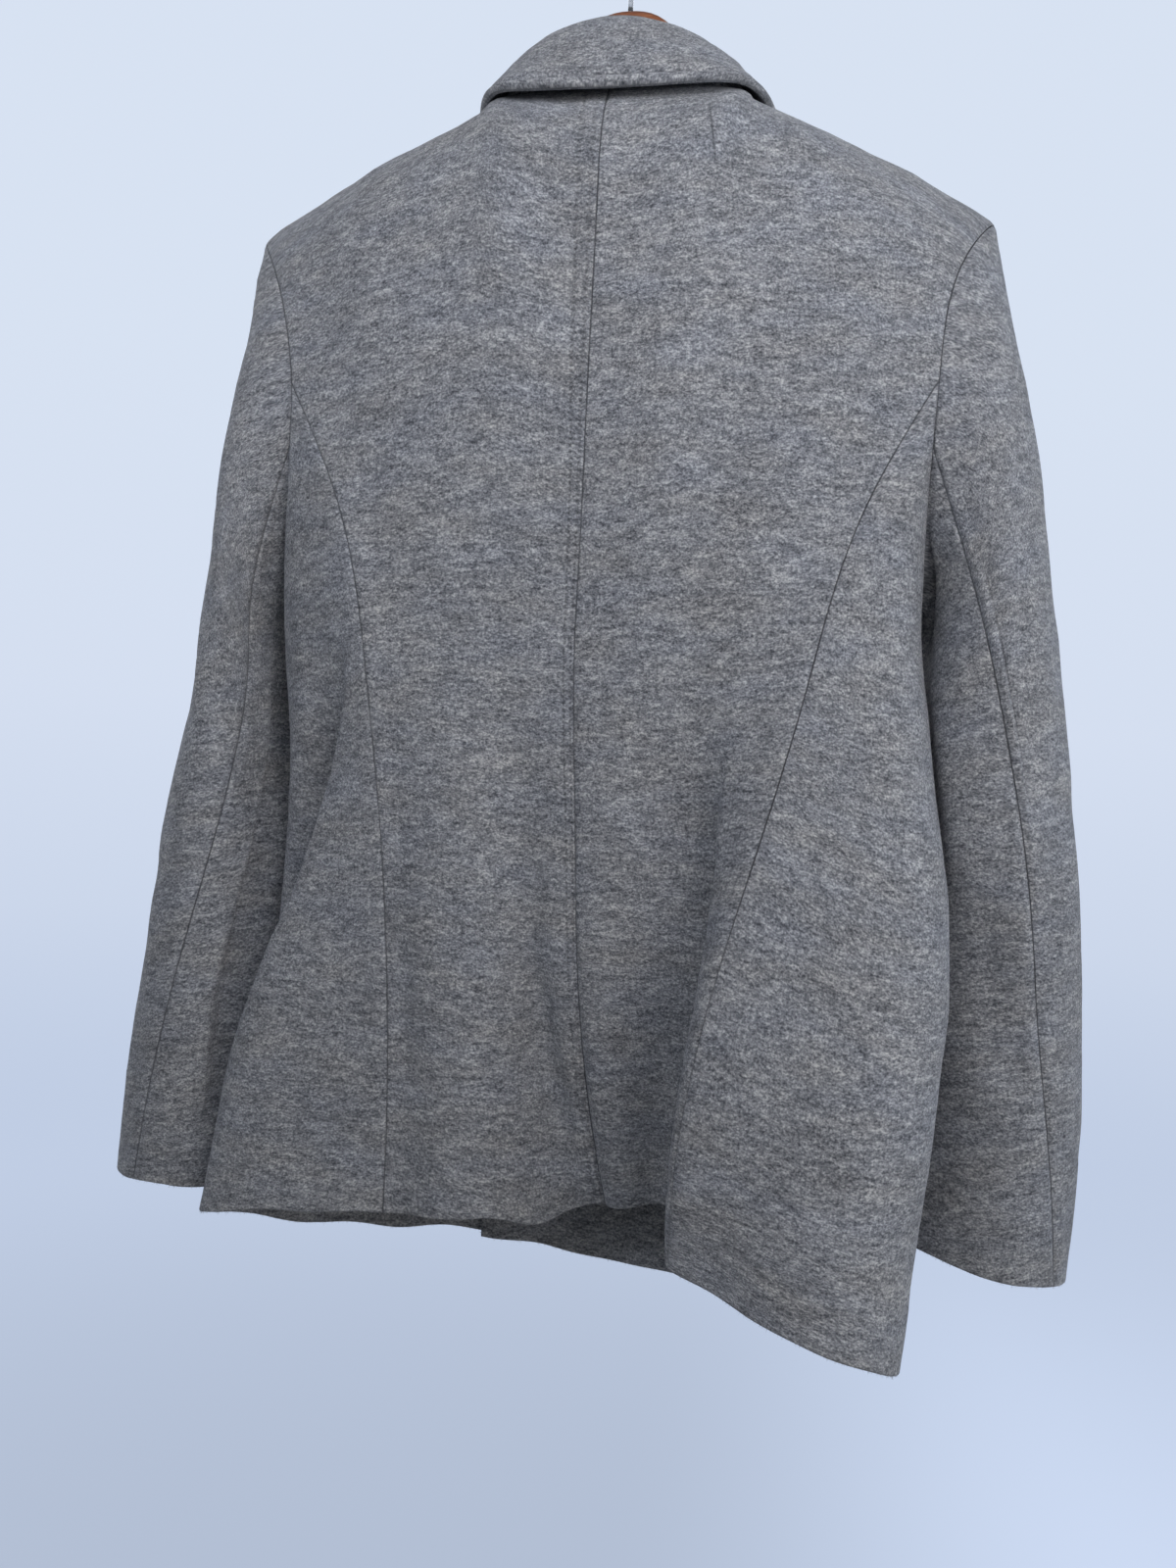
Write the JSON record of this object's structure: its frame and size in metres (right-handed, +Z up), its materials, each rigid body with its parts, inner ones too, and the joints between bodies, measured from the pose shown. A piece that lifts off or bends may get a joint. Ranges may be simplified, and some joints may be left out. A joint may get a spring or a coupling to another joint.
{
  "type": "hip-length military wool coat on a wooden hanger",
  "caption": "Hip-length grey melange wool military coat with a fold-over collar, hung on a wooden hanger with a steel hook, its skirt falling in one deep fold at the back.",
  "frame": {"origin": "inside top of the hanger hook's bend, where the hook rests on a rail", "axes": "+Z up; the coat's back faces -Y; +X is the wearer's right"},
  "size_m": [0.6116, 0.2177, 0.8669],
  "materials": {
    "wool": "napped grey melange wool, matt",
    "button": "satin",
    "hanger_wood": "satin varnish",
    "hook_steel": "polished wire"
  },
  "bodies": {
    "root": {"back_left": "wool", "back_right": "wool", "side_left": "wool", "side_right": "wool", "front_left": "wool", "front_right": "wool", "sleeve_upper_left": "wool", "sleeve_under_left": "wool", "sleeve_upper_right": "wool", "sleeve_under_right": "wool", "collar_stand": "wool", "collar_fall": "wool", "button_1": "button", "button_2": "button", "button_3": "button", "button_4": "button", "hanger_body": "hanger_wood", "hanger_hook": "hook_steel"}
  },
  "joints": []
}
